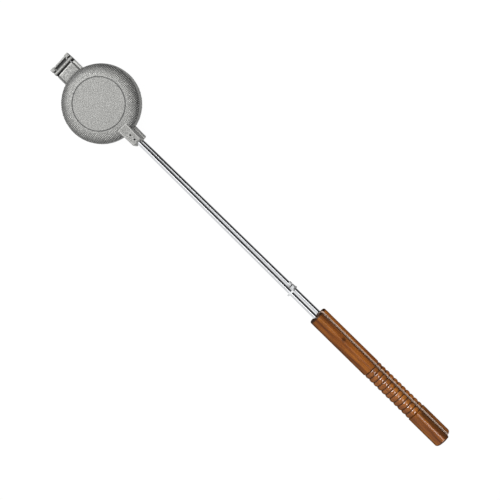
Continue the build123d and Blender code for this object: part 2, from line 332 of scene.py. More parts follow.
socket_place = joined(tree, X=x, Y=side_y)
pin_xs = (pins_low.x + pin_r, pins_high.x - pin_r)
for pin_x in pin_xs:
    from_pin = vector_node(tree, "DISTANCE", socket_place, (pin_x, pin_y, 0), gives="Value")
    # Painted shade in the pin's recess
    pin_recess_shade = range_node(tree, from_pin, pin_r + PIN_DARK_W, pin_r + PIN_FADE_W, PIN_RECESS_SHADE, 0.0)
    painted_shade_places.append(pin_recess_shade)
print("pins at", ", ".join(str(round(pin_x / MM, 1)) for pin_x in pin_xs), "mm along the tool")

# %% [markdown]
# ## Painted shade in the hinge
#
# The hinge is cast in one with the pans: a bar between two arms, and a hook that reaches under it.
# Painted shade makes the open slots of the hook and the troughs beside it the darkest places of all,
# and is lighter in front of the bar, where the troughs lie open. The top of the near arm gets painted
# shade along the root of the tab, where the two castings nearly touch.

# %% Painted shade in the hinge
LIP_W = 2.2 * MM
SLOTS_L = 10.9 * MM
SLOTS_TOP_Z = parting_z - 0.8 * MM
SLOT_SHADE = 0.97
HOOK_HALF_W = 10.7 * MM
HOOK_FLOOR_Z = parting_z - 3.7 * MM
TROUGH_Z = parting_z - 6.0 * MM
TROUGH_FRONT_SHARE = 0.55
BAR_SOFT_EDGE = 0.1 * MM
ARM_INSIDE_Y = 15.95 * MM
ARM_TOP_INSIDE_Y = 12.45 * MM
ARM_TOP_OUTSIDE_Y = 15.1 * MM
TAB_ROOT_L = 15.0 * MM
TAB_ROOT_SHADE = 0.85

slots_start_x = hook_end_x + LIP_W
slots_end_x = slots_start_x + SLOTS_L
bar_x = slots_start_x + SLOTS_L / 2
along_slots = within(tree, x, slots_start_x, slots_end_x)
in_hook = product(tree, along_slots, below(tree, across, HOOK_HALF_W),
                  within(tree, z, HOOK_FLOOR_Z, SLOTS_TOP_Z))
behind_bar = range_node(tree, x, bar_x - BAR_SOFT_EDGE, bar_x + BAR_SOFT_EDGE, TROUGH_FRONT_SHARE, 1.0)
in_trough = product(tree, along_slots, within(tree, across, HOOK_HALF_W, ARM_INSIDE_Y),
                    within(tree, z, TROUGH_Z, SLOTS_TOP_Z), behind_bar)
# Painted shade in the slots and troughs, and along the root of the tab
slots_shade = product(tree, strongest(tree, in_hook, in_trough), SLOT_SHADE)
tab_root_shade = product(tree, within(tree, x, slots_end_x, slots_end_x + TAB_ROOT_L),
                     within(tree, side_y, ARM_TOP_INSIDE_Y, ARM_TOP_OUTSIDE_Y),
                     within(tree, z, TROUGH_Z, parting_z), TAB_ROOT_SHADE)
painted_shade_places += [slots_shade, tab_root_shade]
print("hinge bar at", round(bar_x / MM, 1), "mm along the tool")

# %% [markdown]
# ## Painted shade round the sockets
#
# Each socket is a block that rises from the rim. Painted shade darkens the gutter along its two sides,
# the foot of its front and its sides low by the parting plane, and a thin line of it marks the outer
# edge. These are narrow strips, each told by its distance from the socket's middle.

# %% Painted shade round the sockets
GUTTER_W = 1.3 * MM
GUTTER_START_L = 2 * MM
GUTTER_SHADE = 0.75
FOOT_L = 0.8 * MM
FOOT_END_L = 0.1 * MM
FOOT_SHADE = 0.45
SIDE_SKIN = 0.15 * MM
PARTING_EDGE_H = 0.4 * MM
PARTING_DARK_H = 3.4 * MM
PARTING_SHADE = 0.7
OUTER_EDGE_W = 0.65 * MM
OUTER_EDGE_H = 12 * MM
OUTER_EDGE_SHADE = 0.6

past_pan = above(tree, x, PEBBLE_OUT_R)
# Painted shade in the gutters, at the foot, by the parting plane and on the outer edge
gutter_shade = product(tree, within(tree, from_socket, SOCKET_HALF_W, SOCKET_HALF_W + GUTTER_W),
                    above(tree, x, SOCKET_START_X + GUTTER_START_L), below(tree, radius, PEBBLE_OUT_R),
                    GUTTER_SHADE)
foot_shade = product(tree, within(tree, x, SOCKET_START_X - FOOT_L, SOCKET_START_X + FOOT_END_L),
                  below(tree, from_socket, SOCKET_HALF_W), FOOT_SHADE)
parting_shade = product(tree, above(tree, from_socket, SOCKET_HALF_W - SIDE_SKIN),
                     within(tree, height, PARTING_EDGE_H, PARTING_DARK_H), past_pan, PARTING_SHADE)
outer_edge_shade = product(tree, above(tree, from_socket, SOCKET_HALF_W - OUTER_EDGE_W),
                     above(tree, height, OUTER_EDGE_H), past_pan, OUTER_EDGE_SHADE)
painted_shade_places += [gutter_shade, foot_shade, parting_shade, outer_edge_shade]
print("dark places on a pan:", len(painted_shade_places))

# %% [markdown]
# ## Painted highlights on edges
#
# Rounded edges that catch the light get painted highlights. A bevel shader could find all edges at
# once, but the highlights are strong in some places and missing in others. So the highlighted edges
# are masks as well: the rim and the front of the socket, its edge at the parting plane, the edge of
# the tab behind the hook, and the sides of the arms.

# %% Painted highlights on edges
SOCKET_RIM_W = 1.7 * MM
SOCKET_FRONT_L = 1.3 * MM
SOCKET_HIGHLIGHT = 0.5
PARTING_EDGE_W = 2.5 * MM
TAB_EDGE_W = 1.2 * MM
EDGE_HIGHLIGHT = 0.75
ARM_HIGHLIGHT_Y = 13.0 * MM
ARM_HIGHLIGHT = 0.6

# Painted highlights on the rim and front of the socket, its parting edge, the tab edge and the arms
socket_rim_highlight = product(tree, within(tree, from_socket, SOCKET_HALF_W - SOCKET_RIM_W,
                                  SOCKET_HALF_W - OUTER_EDGE_W),
                     above(tree, x, SOCKET_START_X), SOCKET_HIGHLIGHT)
socket_front_highlight = product(tree, within(tree, x, SOCKET_START_X + FOOT_END_L, SOCKET_START_X + SOCKET_FRONT_L),
                       below(tree, from_socket, SOCKET_HALF_W), SOCKET_HIGHLIGHT)
parting_edge_highlight = product(tree, above(tree, from_socket, SOCKET_HALF_W - PARTING_EDGE_W),
                       below(tree, height, PARTING_EDGE_H), past_pan, EDGE_HIGHLIGHT)
tab_edge_highlight = product(tree, within(tree, x, slots_end_x - TAB_EDGE_W, slots_end_x + TAB_EDGE_W),
                   below(tree, across, HOOK_HALF_W + TAB_EDGE_W), above(tree, z, parting_z), EDGE_HIGHLIGHT)
arm_side_highlight = product(tree, above(tree, across, ARM_HIGHLIGHT_Y), within(tree, x, slots_end_x, -PEBBLE_OUT_R),
                   ARM_HIGHLIGHT)
painted_highlight_places = [socket_rim_highlight, socket_front_highlight, parting_edge_highlight, tab_edge_highlight, arm_side_highlight]
print("bright places on a pan:", len(painted_highlight_places))

# %% [markdown]
# ## From masks to colours
#
# A ramp turns a noise into a run of colours, and a blend lays one colour over another where a mask
# says so. A bump tilts the light on the surface as small pits would. Pits of a quarter millimetre
# could be real geometry, but then each pan would need millions of faces.

# %% Helpers for colours and bump


def ramp_node(tree, factor, stops):
    """Adds a Color Ramp with these stops, each a place from 0 to 1 and a colour, and gives its colour."""
    made = node(tree, "ShaderNodeValToRGB", i0=factor)
    elements = made.color_ramp.elements
    while len(elements) < len(stops):
        elements.new(1.0)
    for element, (place, colour) in zip(elements, stops):
        element.position = place
        element.color = (*colour, 1.0)
    return made.outputs["Color"]


def blend_node(tree, factor, first, second, blend="MIX"):
    """Adds a colour Mix node and gives its result."""
    settings = {"data_type": "RGBA", "blend_type": blend}
    return node(tree, "ShaderNodeMix", settings, i0=factor, i6=first, i7=second).outputs[2]


def add_bump(tree, shader, height, strength, distance):
    """Raises the surface a little where the height is high, by way of the shader's Normal."""
    bump = node(tree, "ShaderNodeBump", Height=height, Strength=strength, Distance=distance)
    tree.links.new(bump.outputs[0], shader.inputs["Normal"])


# %% [markdown]
# ## The metal of the pans
#
# The colour comes in layers: the grain of the casting, faint clouds over it, then the painted
# highlights on edges, and the painted shade on top. Metallic stays low, because the skin of such a
# casting is a dull oxide that scatters light more than it mirrors the room.

# %% The metal of the pans
CAST_TONES = [(0.36, (0.088, 0.088, 0.084)), (0.66, (0.340, 0.340, 0.325))]
CAST_CLOUD = (0.26, 0.26, 0.25, 1)
CAST_CLOUD_RANGE = (0.35, 0.7, 0.0, 0.25)
# Colour of the painted highlights on edges
CAST_PAINTED_HIGHLIGHT = (0.52, 0.52, 0.50, 1)
CAST_ROUGHNESS_RANGE = (0.3, 0.7, 0.62, 0.46)
CAST_PIT_DEPTH = 0.25 * MM
# Colour of the painted shade
PAINTED_SHADE_COLOUR = (0.03, 0.03, 0.03, 1)

plain_metal = ramp_node(tree, skin["Grain"], CAST_TONES)
clouded = blend_node(tree, range_node(tree, skin["Cloud"], *CAST_CLOUD_RANGE), plain_metal, CAST_CLOUD)
highlighted = blend_node(tree, strongest(tree, *painted_highlight_places), clouded, CAST_PAINTED_HIGHLIGHT)
shaded_metal = blend_node(tree, strongest(tree, *painted_shade_places), highlighted, PAINTED_SHADE_COLOUR)
tree.links.new(shaded_metal, shader.inputs["Base Color"])
tree.links.new(range_node(tree, skin["Grain"], *CAST_ROUGHNESS_RANGE), shader.inputs["Roughness"])
shader.inputs["Metallic"].default_value = 0.35
add_bump(tree, shader, skin["Height"], strength=0.5, distance=CAST_PIT_DEPTH)
print("nodes in the cast aluminium:", len(tree.nodes))

# %% [markdown]
# ## Burnished aluminium for the pebbles
#
# The pebbles stand proud of the skin, so handling burnishes them, and they are brighter than the
# metal round them. Painted shade darkens the ones towards the rim, where the shoulder turns away from
# the light, and those on the hinge's side are darker too. The pebbles are pieces of their own, so they
# can have a material of their own, and no mask has to find them one by one.

# %% The pebble material
PEBBLE_TONES = [(0.35, (0.275, 0.275, 0.264)), (0.65, (0.61, 0.61, 0.586))]
PEBBLE_DARK = (0.10, 0.10, 0.098, 1)
RIM_SHADE_RANGE = (44.0 * MM, PEBBLE_OUT_R, 0.0, 0.45)
HINGE_SIDE_RANGE = (-5 * MM, -30 * MM)
HINGE_DARKER_RANGE = (39 * MM, 50 * MM, 0.12, 0.62)
PEBBLE_ROUGHNESS_RANGE = (0.3, 0.7, 0.55, 0.42)

pebble_material, tree, shader, place = new_material("burnished_pebble")
skin = casting_skin(tree, place)
x, y, z = axes_of(tree, place)
radius = vector_node(tree, "LENGTH", joined(tree, X=x, Y=y), gives="Value")
burnished = ramp_node(tree, skin["Grain"], PEBBLE_TONES)
# Darker on the hinge's side, and painted shade towards the rim
darker_at_hinge = product(tree, range_node(tree, x, *HINGE_SIDE_RANGE),
                        range_node(tree, radius, *HINGE_DARKER_RANGE))
rim_shade = range_node(tree, radius, *RIM_SHADE_RANGE)
darkened_pebbles = blend_node(tree, strongest(tree, rim_shade, darker_at_hinge), burnished, PEBBLE_DARK)
tree.links.new(darkened_pebbles, shader.inputs["Base Color"])
tree.links.new(range_node(tree, skin["Cloud"], *PEBBLE_ROUGHNESS_RANGE), shader.inputs["Roughness"])
shader.inputs["Metallic"].default_value = 0.4
print("nodes in the burnished pebble:", len(tree.nodes))

# %% [markdown]
# ## Plating for the rods
#
# The rods are drawn steel with bright nickel plate. Drawing leaves faint lines along the rod, so the
# noise is stretched along X before it reaches the tone, the roughness and the bump. The latch is
# plated in the same bath, so the plating is a function with its own colour and roughness.

# %% The plated rods
DRAWN_SCALE = (12.0, 2600.0, 2600.0)
DRAWN_SHADE_SHARE = 0.86
DRAWN_TONES_AT = (0.25, 0.75)
DRAWN_RANGE = (0.3, 0.7)
DRAWN_LINE_DEPTH = 0.01 * MM


def stretched(tree, vector, scale):
    """Scales the coordinates along each axis. A small scale draws a pattern out along that axis."""
    return node(tree, "ShaderNodeMapping", Vector=vector, Scale=scale).outputs[0]


def plated(name, colour, rough_low, rough_high):
    """A plated finish with faint lines along X: its material, tree, shader, coordinates and tone."""
    material, tree, shader, place = new_material(name)
    lines = noise_node(tree, stretched(tree, place, DRAWN_SCALE), size=1.0, detail=2.0)
    line_colour = tuple(DRAWN_SHADE_SHARE * part for part in colour)
    tone = ramp_node(tree, lines, list(zip(DRAWN_TONES_AT, (line_colour, colour))))
    roughness = range_node(tree, lines, *DRAWN_RANGE, rough_low, rough_high)
    tree.links.new(tone, shader.inputs["Base Color"])
    tree.links.new(roughness, shader.inputs["Roughness"])
    shader.inputs["Metallic"].default_value = 1.0
    add_bump(tree, shader, lines, strength=0.05, distance=DRAWN_LINE_DEPTH)
    return material, tree, shader, place, tone


rod_material = plated("plated_rod", (0.88, 0.89, 0.90), rough_low=0.07, rough_high=0.13)[0]
print("made:", rod_material.name)

# %% [markdown]
# ## Satin plate for the latch
#
# The latch is a sleeve round the bottom rod whose plate is satin, so it mirrors the room much less
# than the rods do. Painted shade darkens the seam round the sleeve, its far side, the root of the
# finger and, a little, its tip. All four are masks on the latch's own coordinates, so that they turn
# with it.

# %% The satin latch
SEAM_START_L = 4.6 * MM
SEAM_W = 1.1 * MM
SEAM_SHADE = 0.93
FAR_SIDE_RANGE = (4.7 * MM, 5.8 * MM, 0.0, 0.9)
FINGER_START_L = 9.6 * MM
FINGER_ROOT_RANGE = (2.0 * MM, 4.0 * MM)
FINGER_ROOT_SHADE = 0.8
FINGER_TIP_RANGE = (-5.5 * MM, -3.0 * MM, 0.3, 0.0)
LATCH_PAINTED_SHADE = (0.015, 0.015, 0.016, 1)

latch_material, tree, shader, place, plate = plated(
    "plated_latch", (0.90, 0.91, 0.92), rough_low=0.22, rough_high=0.32)
x, y, z = axes_of(tree, place)
seam_x = latch_low.x + SEAM_START_L
# Painted shade in the seam, on the far side and on the finger
in_seam = product(tree, within(tree, x, seam_x, seam_x + SEAM_W), SEAM_SHADE)
far_side = range_node(tree, y, *FAR_SIDE_RANGE)
on_finger = above(tree, x, latch_low.x + FINGER_START_L)
finger_root = product(tree, on_finger, range_node(tree, y, *FINGER_ROOT_RANGE), FINGER_ROOT_SHADE)
finger_tip = product(tree, on_finger, range_node(tree, y, *FINGER_TIP_RANGE))
latch_shade = strongest(tree, far_side, finger_root, finger_tip, in_seam)
tree.links.new(blend_node(tree, latch_shade, plate, LATCH_PAINTED_SHADE), shader.inputs["Base Color"])
shader.inputs["Metallic"].default_value = 0.25
shader.inputs["Specular IOR Level"].default_value = 0.2
print("latch seam at", round(seam_x / MM, 1), "mm along the tool")

# %% [markdown]
# ## The socket pins
#
# The pins are driven below the face, and their near-black colour is painted shade for the recesses
# they sit in: a rough grey-black metal with a little unevenness.

# %% The pin material
SPECKLE_SIZE = 0.5 * MM
PIN_SHADE_TONES = [(0.3, (0.006, 0.006, 0.006)), (0.7, (0.02, 0.019, 0.018))]
PIN_ROUGHNESS_RANGE = (0.3, 0.7, 0.5, 0.75)

pin_material, tree, shader, place = new_material("dark_pin")
speckle = noise_node(tree, place, SPECKLE_SIZE, detail=3.0)
# Near-black tones: painted shade of the recesses
tree.links.new(ramp_node(tree, speckle, PIN_SHADE_TONES), shader.inputs["Base Color"])
tree.links.new(range_node(tree, speckle, *PIN_ROUGHNESS_RANGE), shader.inputs["Roughness"])
shader.inputs["Metallic"].default_value = 0.2
print("made:", pin_material.name)

# %% [markdown]
# ## Stained wood for the handle
#
# The handle was turned, stained brown and varnished as one piece and then split. Its grain runs
# along X, so the two noises of the grain are stretched that way: a broad one for the figure of the
# wood and a fine one for its fibres. A third noise, not stretched, makes the stain blotchy. All
# coordinates are taken from the tool axis, so that the wood can tell its radius.

# %% Grain and stain
GRAIN_STRETCH = (0.055, 1.0, 1.0)
FIGURE_SIZE = 4.6 * MM
FIBRE_SIZE = 0.7 * MM
BLOTCH_SIZE = 22 * MM
STAIN_TONES = [(0.30, (0.105, 0.027, 0.007)), (0.44, (0.27, 0.080, 0.014)),
               (0.60, (0.45, 0.148, 0.022)), (0.75, (0.56, 0.22, 0.038))]
FIBRE_COLOUR = (0.12, 0.045, 0.016, 1)
FIBRE_RANGE = (0.35, 0.7, 0.0, 0.50)
BLOTCH_COLOUR = (0.10, 0.035, 0.012, 1)
BLOTCH_RANGE = (0.45, 0.75, 0.0, 0.5)

wood_material, tree, shader, place = new_material("stained_wood")
about_axis = vector_node(tree, "SUBTRACT", place, (0, 0, parting_z))
x, y, z = axes_of(tree, about_axis)
off_axis = joined(tree, Y=y, Z=z)
radius = vector_node(tree, "LENGTH", off_axis, gives="Value")
along_grain = stretched(tree, about_axis, GRAIN_STRETCH)
figure = noise_node(tree, along_grain, FIGURE_SIZE, detail=5.0, roughness=0.6)
fibre = noise_node(tree, along_grain, FIBRE_SIZE, detail=3.0, roughness=0.6)
blotch = noise_node(tree, about_axis, BLOTCH_SIZE, detail=3.0)
stained = ramp_node(tree, figure, STAIN_TONES)
fibred = blend_node(tree, range_node(tree, fibre, *FIBRE_RANGE), stained, FIBRE_COLOUR)
blotched = blend_node(tree, range_node(tree, blotch, *BLOTCH_RANGE), fibred, BLOTCH_COLOUR)
print("stain tones:", len(STAIN_TONES))

# %% [markdown]
# ## Painted shade in the valleys and at the ends
#
# Painted shade darkens the valleys between the beads and the rounded ends of the handle. The valleys
# between the beads are told by their smaller radius, and the two ends by their place along the
# handle. Each is darkest at its bottom or its very end and fades out from there.

# %% Painted shade in the valleys and at the ends
BEAD_R = 13.25 * MM
BEAD_CLEAR_DEPTH = 0.5 * MM
VALLEY_R = 11.9 * MM
VALLEY_DARK_H = 0.1 * MM
VALLEY_SHADE = 0.85
FRONT_DARK_L = 1.6 * MM
FRONT_FADE_L = 4.4 * MM
FRONT_SHADE = 0.95
REAR_DARK_L = 0.6 * MM
REAR_FADE_L = 3.0 * MM
REAR_SHADE = 0.9

# Painted shade in the valleys and at the rounded ends
valley_shade = range_node(tree, radius, VALLEY_R + VALLEY_DARK_H, BEAD_R - BEAD_CLEAR_DEPTH, VALLEY_SHADE, 0.0)
front_end_shade = range_node(tree, x, handle_front_x + FRONT_DARK_L, handle_front_x + FRONT_FADE_L, FRONT_SHADE, 0.0)
rear_end_shade = range_node(tree, x, handle_rear_x - REAR_FADE_L, handle_rear_x - REAR_DARK_L, 0.0, REAR_SHADE)
print("ends darkened over", round(FRONT_FADE_L / MM, 1), "and", round(REAR_FADE_L / MM, 1), "mm")

# %% [markdown]
# ## A knot and a dark streak
#
# Grain alone looks the same everywhere, and real wood has accidents. A knot is a ball of distance
# round one point, whose edge the fibres make ragged. A dark streak runs along the rear end of the
# handle, at one angle round the axis, and is a little weaker where the wood is dark already.

# %% The knot and the streak
KNOT_AT = (handle_front_x + 46.5 * MM, 3.6 * MM, 12.8 * MM)
KNOT_STRETCH = (0.75, 0.8, 0.8)
KNOT_RAGGED = 2.5 * MM
KNOT_RANGE = (2.2 * MM, 4.8 * MM, 0.62, 0.0)
STREAK_ANGLE = math.radians(27.0)
STREAK_HALF = math.radians(13.0)
STREAK_FULL_SHARE = 0.5
STREAK_END_SHARE = 1.3
STREAK_STAIN = 0.66
STREAK_START_X = handle_rear_x - 54 * MM
STREAK_FADE_L = 8 * MM
STREAK_FIGURE_RANGE = (0.30, 0.52, 0.75, 1.0)
STAIN_AND_SHADE_COLOUR = (0.020, 0.009, 0.005, 1)

knot_middle = tuple(part * stretch for part, stretch in zip(KNOT_AT, KNOT_STRETCH))
knot_place = stretched(tree, about_axis, KNOT_STRETCH)
from_knot = vector_node(tree, "DISTANCE", knot_place, knot_middle, gives="Value")
ragged = math_node(tree, "ADD", from_knot, product(tree, fibre, KNOT_RAGGED))
knot = range_node(tree, ragged, *KNOT_RANGE)
round_angle = math_node(tree, "ARCTAN2", y, z)
from_streak = math_node(tree, "ABSOLUTE", math_node(tree, "SUBTRACT", round_angle, STREAK_ANGLE))
on_streak = range_node(tree, from_streak, STREAK_HALF * STREAK_FULL_SHARE, STREAK_HALF * STREAK_END_SHARE,
                       STREAK_STAIN, 0.0)
streak = product(tree, on_streak, range_node(tree, x, STREAK_START_X, STREAK_START_X + STREAK_FADE_L),
                 range_node(tree, figure, *STREAK_FIGURE_RANGE))
# Painted shade of the valleys and ends, with the knot and the streak
stain_and_shade = strongest(tree, valley_shade, front_end_shade, rear_end_shade, knot, streak)
darkened = blend_node(tree, stain_and_shade, blotched, STAIN_AND_SHADE_COLOUR)
print("knot", round((KNOT_AT[0] - handle_front_x) / MM, 1), "mm behind the handle's front")

# %% [markdown]
# ## The split
#
# A saw cut runs the length of the handle, at an angle through the tool axis. The distance from its
# plane tells the two sawn faces, which never had stain and are pale, and the near half from the far
# one. Painted shade darkens the near half along the cut, and the far half over its last beads and on
# to its rear end.

# %% Shade by the split
SPLIT_ANGLE = math.radians(43.0)
SPLIT_GAP = 2.2 * MM
SAWN_SKIN = 0.15 * MM
CUT_EDGE_RANGE = (SPLIT_GAP / 2 + 1.0 * MM, SPLIT_GAP / 2 + 2.5 * MM, 0.92, 0.0)
BY_CUT_RANGE = (SPLIT_GAP / 2 + 0.8 * MM, SPLIT_GAP / 2 + 5.0 * MM, 0.50, 0.0)
BEADS_START_X = handle_front_x + 101 * MM
BEADS_END_X = handle_front_x + 184 * MM
FAR_REAR_RANGE = (BEADS_END_X - 20 * MM, BEADS_END_X + 5 * MM, 0.0, 0.45)
SPLIT_SHADE = (0.030, 0.014, 0.008, 1)

split_normal = (0, -math.sin(SPLIT_ANGLE), math.cos(SPLIT_ANGLE))
from_split = vector_node(tree, "DOT_PRODUCT", about_axis, split_normal, gives="Value")
on_sawn_face = below(tree, math_node(tree, "ABSOLUTE", from_split), SPLIT_GAP / 2 + SAWN_SKIN)
along_cut = strongest(tree, range_node(tree, from_split, *BY_CUT_RANGE),
                      range_node(tree, from_split, *CUT_EDGE_RANGE))
# Painted shade along the cut on the near half, and at the far half's rear
near_half_cut_shade = product(tree, along_cut, above(tree, from_split, 0.0))
far_half_rear_shade = product(tree, below(tree, from_split, 0.0), range_node(tree, x, *FAR_REAR_RANGE))
split_shaded = blend_node(tree, strongest(tree, near_half_cut_shade, far_half_rear_shade), darkened, SPLIT_SHADE)
print("split at", round(math.degrees(SPLIT_ANGLE)), "degrees, beads from", round(BEADS_START_X / MM, 1),
      "to", round(BEADS_END_X / MM, 1), "mm")

# %% [markdown]
# ## Painted shade along both sides
#
# Painted shade darkens the strips along both sides, where the round of the handle turns away from the
# light. A shade that followed the camera would slide when the iron is turned, so the strips are told
# by the direction from the tool axis: a point is sideways as far as its direction turns away from the
# crown's. The near side darkens sooner than the far one. The bare colour of the sawn faces goes on
# last.

# %% Dark sides and bare sawn faces
CROWN_TURN = math.radians(9.5)
NEAR_SIDE_RANGE = (0.18, 0.70, 0.0, 0.6)
BOTH_SIDES_RANGE = (0.50, 0.88, 0.0, 0.6)
SIDE_PAINTED_SHADE = (0.045, 0.030, 0.022, 1)
BARE_WOOD_TONES = [(0.3, (0.64, 0.50, 0.41)), (0.7, (0.70, 0.56, 0.46))]

crown = (0, math.sin(CROWN_TURN), math.cos(CROWN_TURN))
round_direction = vector_node(tree, "NORMALIZE", off_axis)
off_crown = vector_node(tree, "DOT_PRODUCT", round_direction, crown, gives="Value")
sideways = math_node(tree, "SUBTRACT", 1.0, math_node(tree, "ABSOLUTE", off_crown))
# Painted shade along the sides, sooner on the near side
near_side_shade = product(tree, below(tree, y, 0.0), range_node(tree, sideways, *NEAR_SIDE_RANGE))
both_sides_shade = range_node(tree, sideways, *BOTH_SIDES_RANGE)
side_shaded = blend_node(tree, strongest(tree, near_side_shade, both_sides_shade), split_shaded, SIDE_PAINTED_SHADE)
bare = ramp_node(tree, fibre, BARE_WOOD_TONES)
tree.links.new(blend_node(tree, on_sawn_face, side_shaded, bare), shader.inputs["Base Color"])
print("nodes in the wood so far:", len(tree.nodes))

# %% [markdown]
# ## Varnish
#
# The varnish is a clear coat over the stained wood. It is thickest on the beads, where it catches
# the lamps in small bright spots, thinner behind them, thinnest in front, and the sawn faces have
# none. It fades where the surface turns away, so that the edges don't mirror the white room. Only
# this gloss depends on where the camera stands, and no colour does.

# %% Varnish on the wood
WOOD_ROUGHNESS = 0.45
SAWN_ROUGHNESS_MORE = 0.3
COAT_IN_FRONT = 0.26
COAT_MORE_ON_BEADS = 0.36
COAT_MORE_BEHIND_BEADS = 0.20
FACING_RANGE = (0.25, 0.6, 1.0, 0.0)
FIBRE_DEPTH = 0.05 * MM

roughness = math_node(tree, "ADD", product(tree, on_sawn_face, SAWN_ROUGHNESS_MORE), WOOD_ROUGHNESS)
tree.links.new(roughness, shader.inputs["Roughness"])
more_on_beads = product(tree, within(tree, x, BEADS_START_X, BEADS_END_X), COAT_MORE_ON_BEADS)
more_behind_beads = product(tree, above(tree, x, BEADS_END_X), COAT_MORE_BEHIND_BEADS)
front_coat = math_node(tree, "ADD", more_on_beads, COAT_IN_FRONT)
coat = math_node(tree, "ADD", more_behind_beads, front_coat)
facing = node(tree, "ShaderNodeLayerWeight", Blend=0.5).outputs["Facing"]
varnish = product(tree, math_node(tree, "SUBTRACT", 1.0, on_sawn_face),
                  range_node(tree, facing, *FACING_RANGE), coat)
tree.links.new(varnish, shader.inputs["Coat Weight"])
shader.inputs["Coat Roughness"].default_value = 0.14
shader.inputs["Specular IOR Level"].default_value = 0.0
add_bump(tree, shader, fibre, strength=0.08, distance=FIBRE_DEPTH)
print("nodes in the stained wood:", len(tree.nodes))

# %% [markdown]
# ## Put the finishes on
#
# The loaded pieces are the construction itself and aren't moved or changed. Each one only gets its
# material, in every slot that it has. Both pieces of a pair share one material, as the real ones
# share a metal, a plating or one piece of wood.

# %% Give each loaded node its finish
finishes = {
    "top_pan": cast_material, "bottom_pan": cast_material,
    "top_rod": rod_material, "bottom_rod": rod_material,
    "top_socket_pins": pin_material, "bottom_socket_pins": pin_material,
    "top_handle": wood_material, "bottom_handle": wood_material,
    "latch": latch_material,
}
for name, material in finishes.items():
    slots = nodes[name].material_slots
    if not slots:
        nodes[name].data.materials.append(material)
    for material_slot in slots:
        material_slot.material = material
print("finishes:", len(finishes))

# %% [markdown]
# ## Pebbles on the shoulder
#
# The casting's shoulder carries rows of small pebbles that run with the tool axis. They catch the
# light one by one, so they are real shapes and not a bump. One pebble is modelled: a cube whose top
# is drawn in and whose edges are beveled. It has few faces, because it is repeated hundreds of times.

# %% Model one pebble
PEBBLE_W = 1.75 * MM
PEBBLE_H = 0.45 * MM
PEBBLE_SUNK = 0.25 * MM
PEBBLE_TOP_SHARE = 0.66
PEBBLE_BEVEL_SHARE = 0.11
FACES_UP = 0.5

bpy.ops.mesh.primitive_cube_add(size=1)
top_pebbles = bpy.context.object
top_pebbles.name = "top_pebbles"
top_pebbles.scale = (PEBBLE_W, PEBBLE_W, PEBBLE_H + PEBBLE_SUNK)
top_pebbles.location = (0, 0, (PEBBLE_H - PEBBLE_SUNK) / 2)
bpy.ops.object.transform_apply(location=True, rotation=True, scale=True)
for face in top_pebbles.data.polygons:
    face.select = face.normal.z > FACES_UP
bpy.ops.object.mode_set(mode="EDIT")
bpy.ops.transform.resize(value=(PEBBLE_TOP_SHARE, PEBBLE_TOP_SHARE, 1))
bpy.ops.mesh.select_all(action="SELECT")
bpy.ops.mesh.bevel(offset=PEBBLE_W * PEBBLE_BEVEL_SHARE, segments=1)
bpy.ops.object.mode_set(mode="OBJECT")
pebble_corners = len(top_pebbles.data.vertices)
print("pebble corners:", pebble_corners)

# %% [markdown]
# ## Fill a square with pebbles
#
# Two Array modifiers repeat the pebble along X and along Y, to a square that is wide enough for the
# whole pan. The pebbles could be placed in rings, but the real rows are straight and run with the
# tool. The rows start half a step to the side, so that no row lies on the tool axis itself.

# %% Repeat the pebble on a square lattice
PEBBLE_PITCH = 2.1 * MM
HALF_STEP = 0.5

reach = math.ceil(PEBBLE_OUT_R / PEBBLE_PITCH)
side_count = 2 * reach + 1
for step in ((PEBBLE_PITCH, 0, 0), (0, PEBBLE_PITCH, 0)):
    rows = top_pebbles.modifiers.new("rows", "ARRAY")
    rows.use_relative_offset = False
    rows.use_constant_offset = True
    rows.constant_offset_displace = step
    rows.count = side_count
    bpy.ops.object.modifier_apply(modifier=rows.name)
lattice = top_pebbles.data
start = Vector((-reach * PEBBLE_PITCH, (HALF_STEP - reach) * PEBBLE_PITCH, 0))
print("pebbles in the square:", side_count * side_count)

# %% [markdown]
# ## Set the pebbles on the metal
#
# A ray that is cast down on the pan from each pebble finds the height and the slope of the metal
# there. The pebble is turned to that slope and set on it, sunk in a little. Pebbles over the flat
# disc, past the shoulder or on the socket's block have no place and are noted for removal.

# %% Set each pebble on the metal
RAY_START_Z = pan_top + 10 * MM

top_pan = nodes["top_pan"]
corners = [corner.co.copy() for corner in lattice.vertices]
unplaced = []
for number in range(side_count * side_count):
    row, column = divmod(number, side_count)
    lattice_point = Vector((column * PEBBLE_PITCH, row * PEBBLE_PITCH, 0))
    x, y, _ = lattice_point + start
    own = range(number * pebble_corners, (number + 1) * pebble_corners)
    on_socket = x + PEBBLE_W / 2 > SOCKET_START_X and abs(y + SOCKET_SIDE) < SOCKET_HALF_W + PEBBLE_W / 2
    if on_socket or not PEBBLE_IN_R < math.hypot(x, y) < PEBBLE_OUT_R:
        unplaced.extend(own)
        continue
    _, spot, slope, _ = top_pan.ray_cast(Vector((x, y, RAY_START_Z)), Vector((0, 0, -1)))
    turn = Vector((0, 0, 1)).rotation_difference(slope)
    for index in own:
        lattice.vertices[index].co = spot + turn @ (corners[index] - lattice_point)
print("pebbles without a place:", len(unplaced) // pebble_corners)

# %% [markdown]
# ## Remove the others and finish the surface
#
# The pebbles without a place are selected by their corners and deleted in edit mode, as by hand.
# Smooth shading by angle then softens the bevels, where the faces meet at a flat angle.

# %% Delete the pebbles without a place
SMOOTH_UP_TO = math.radians(50)

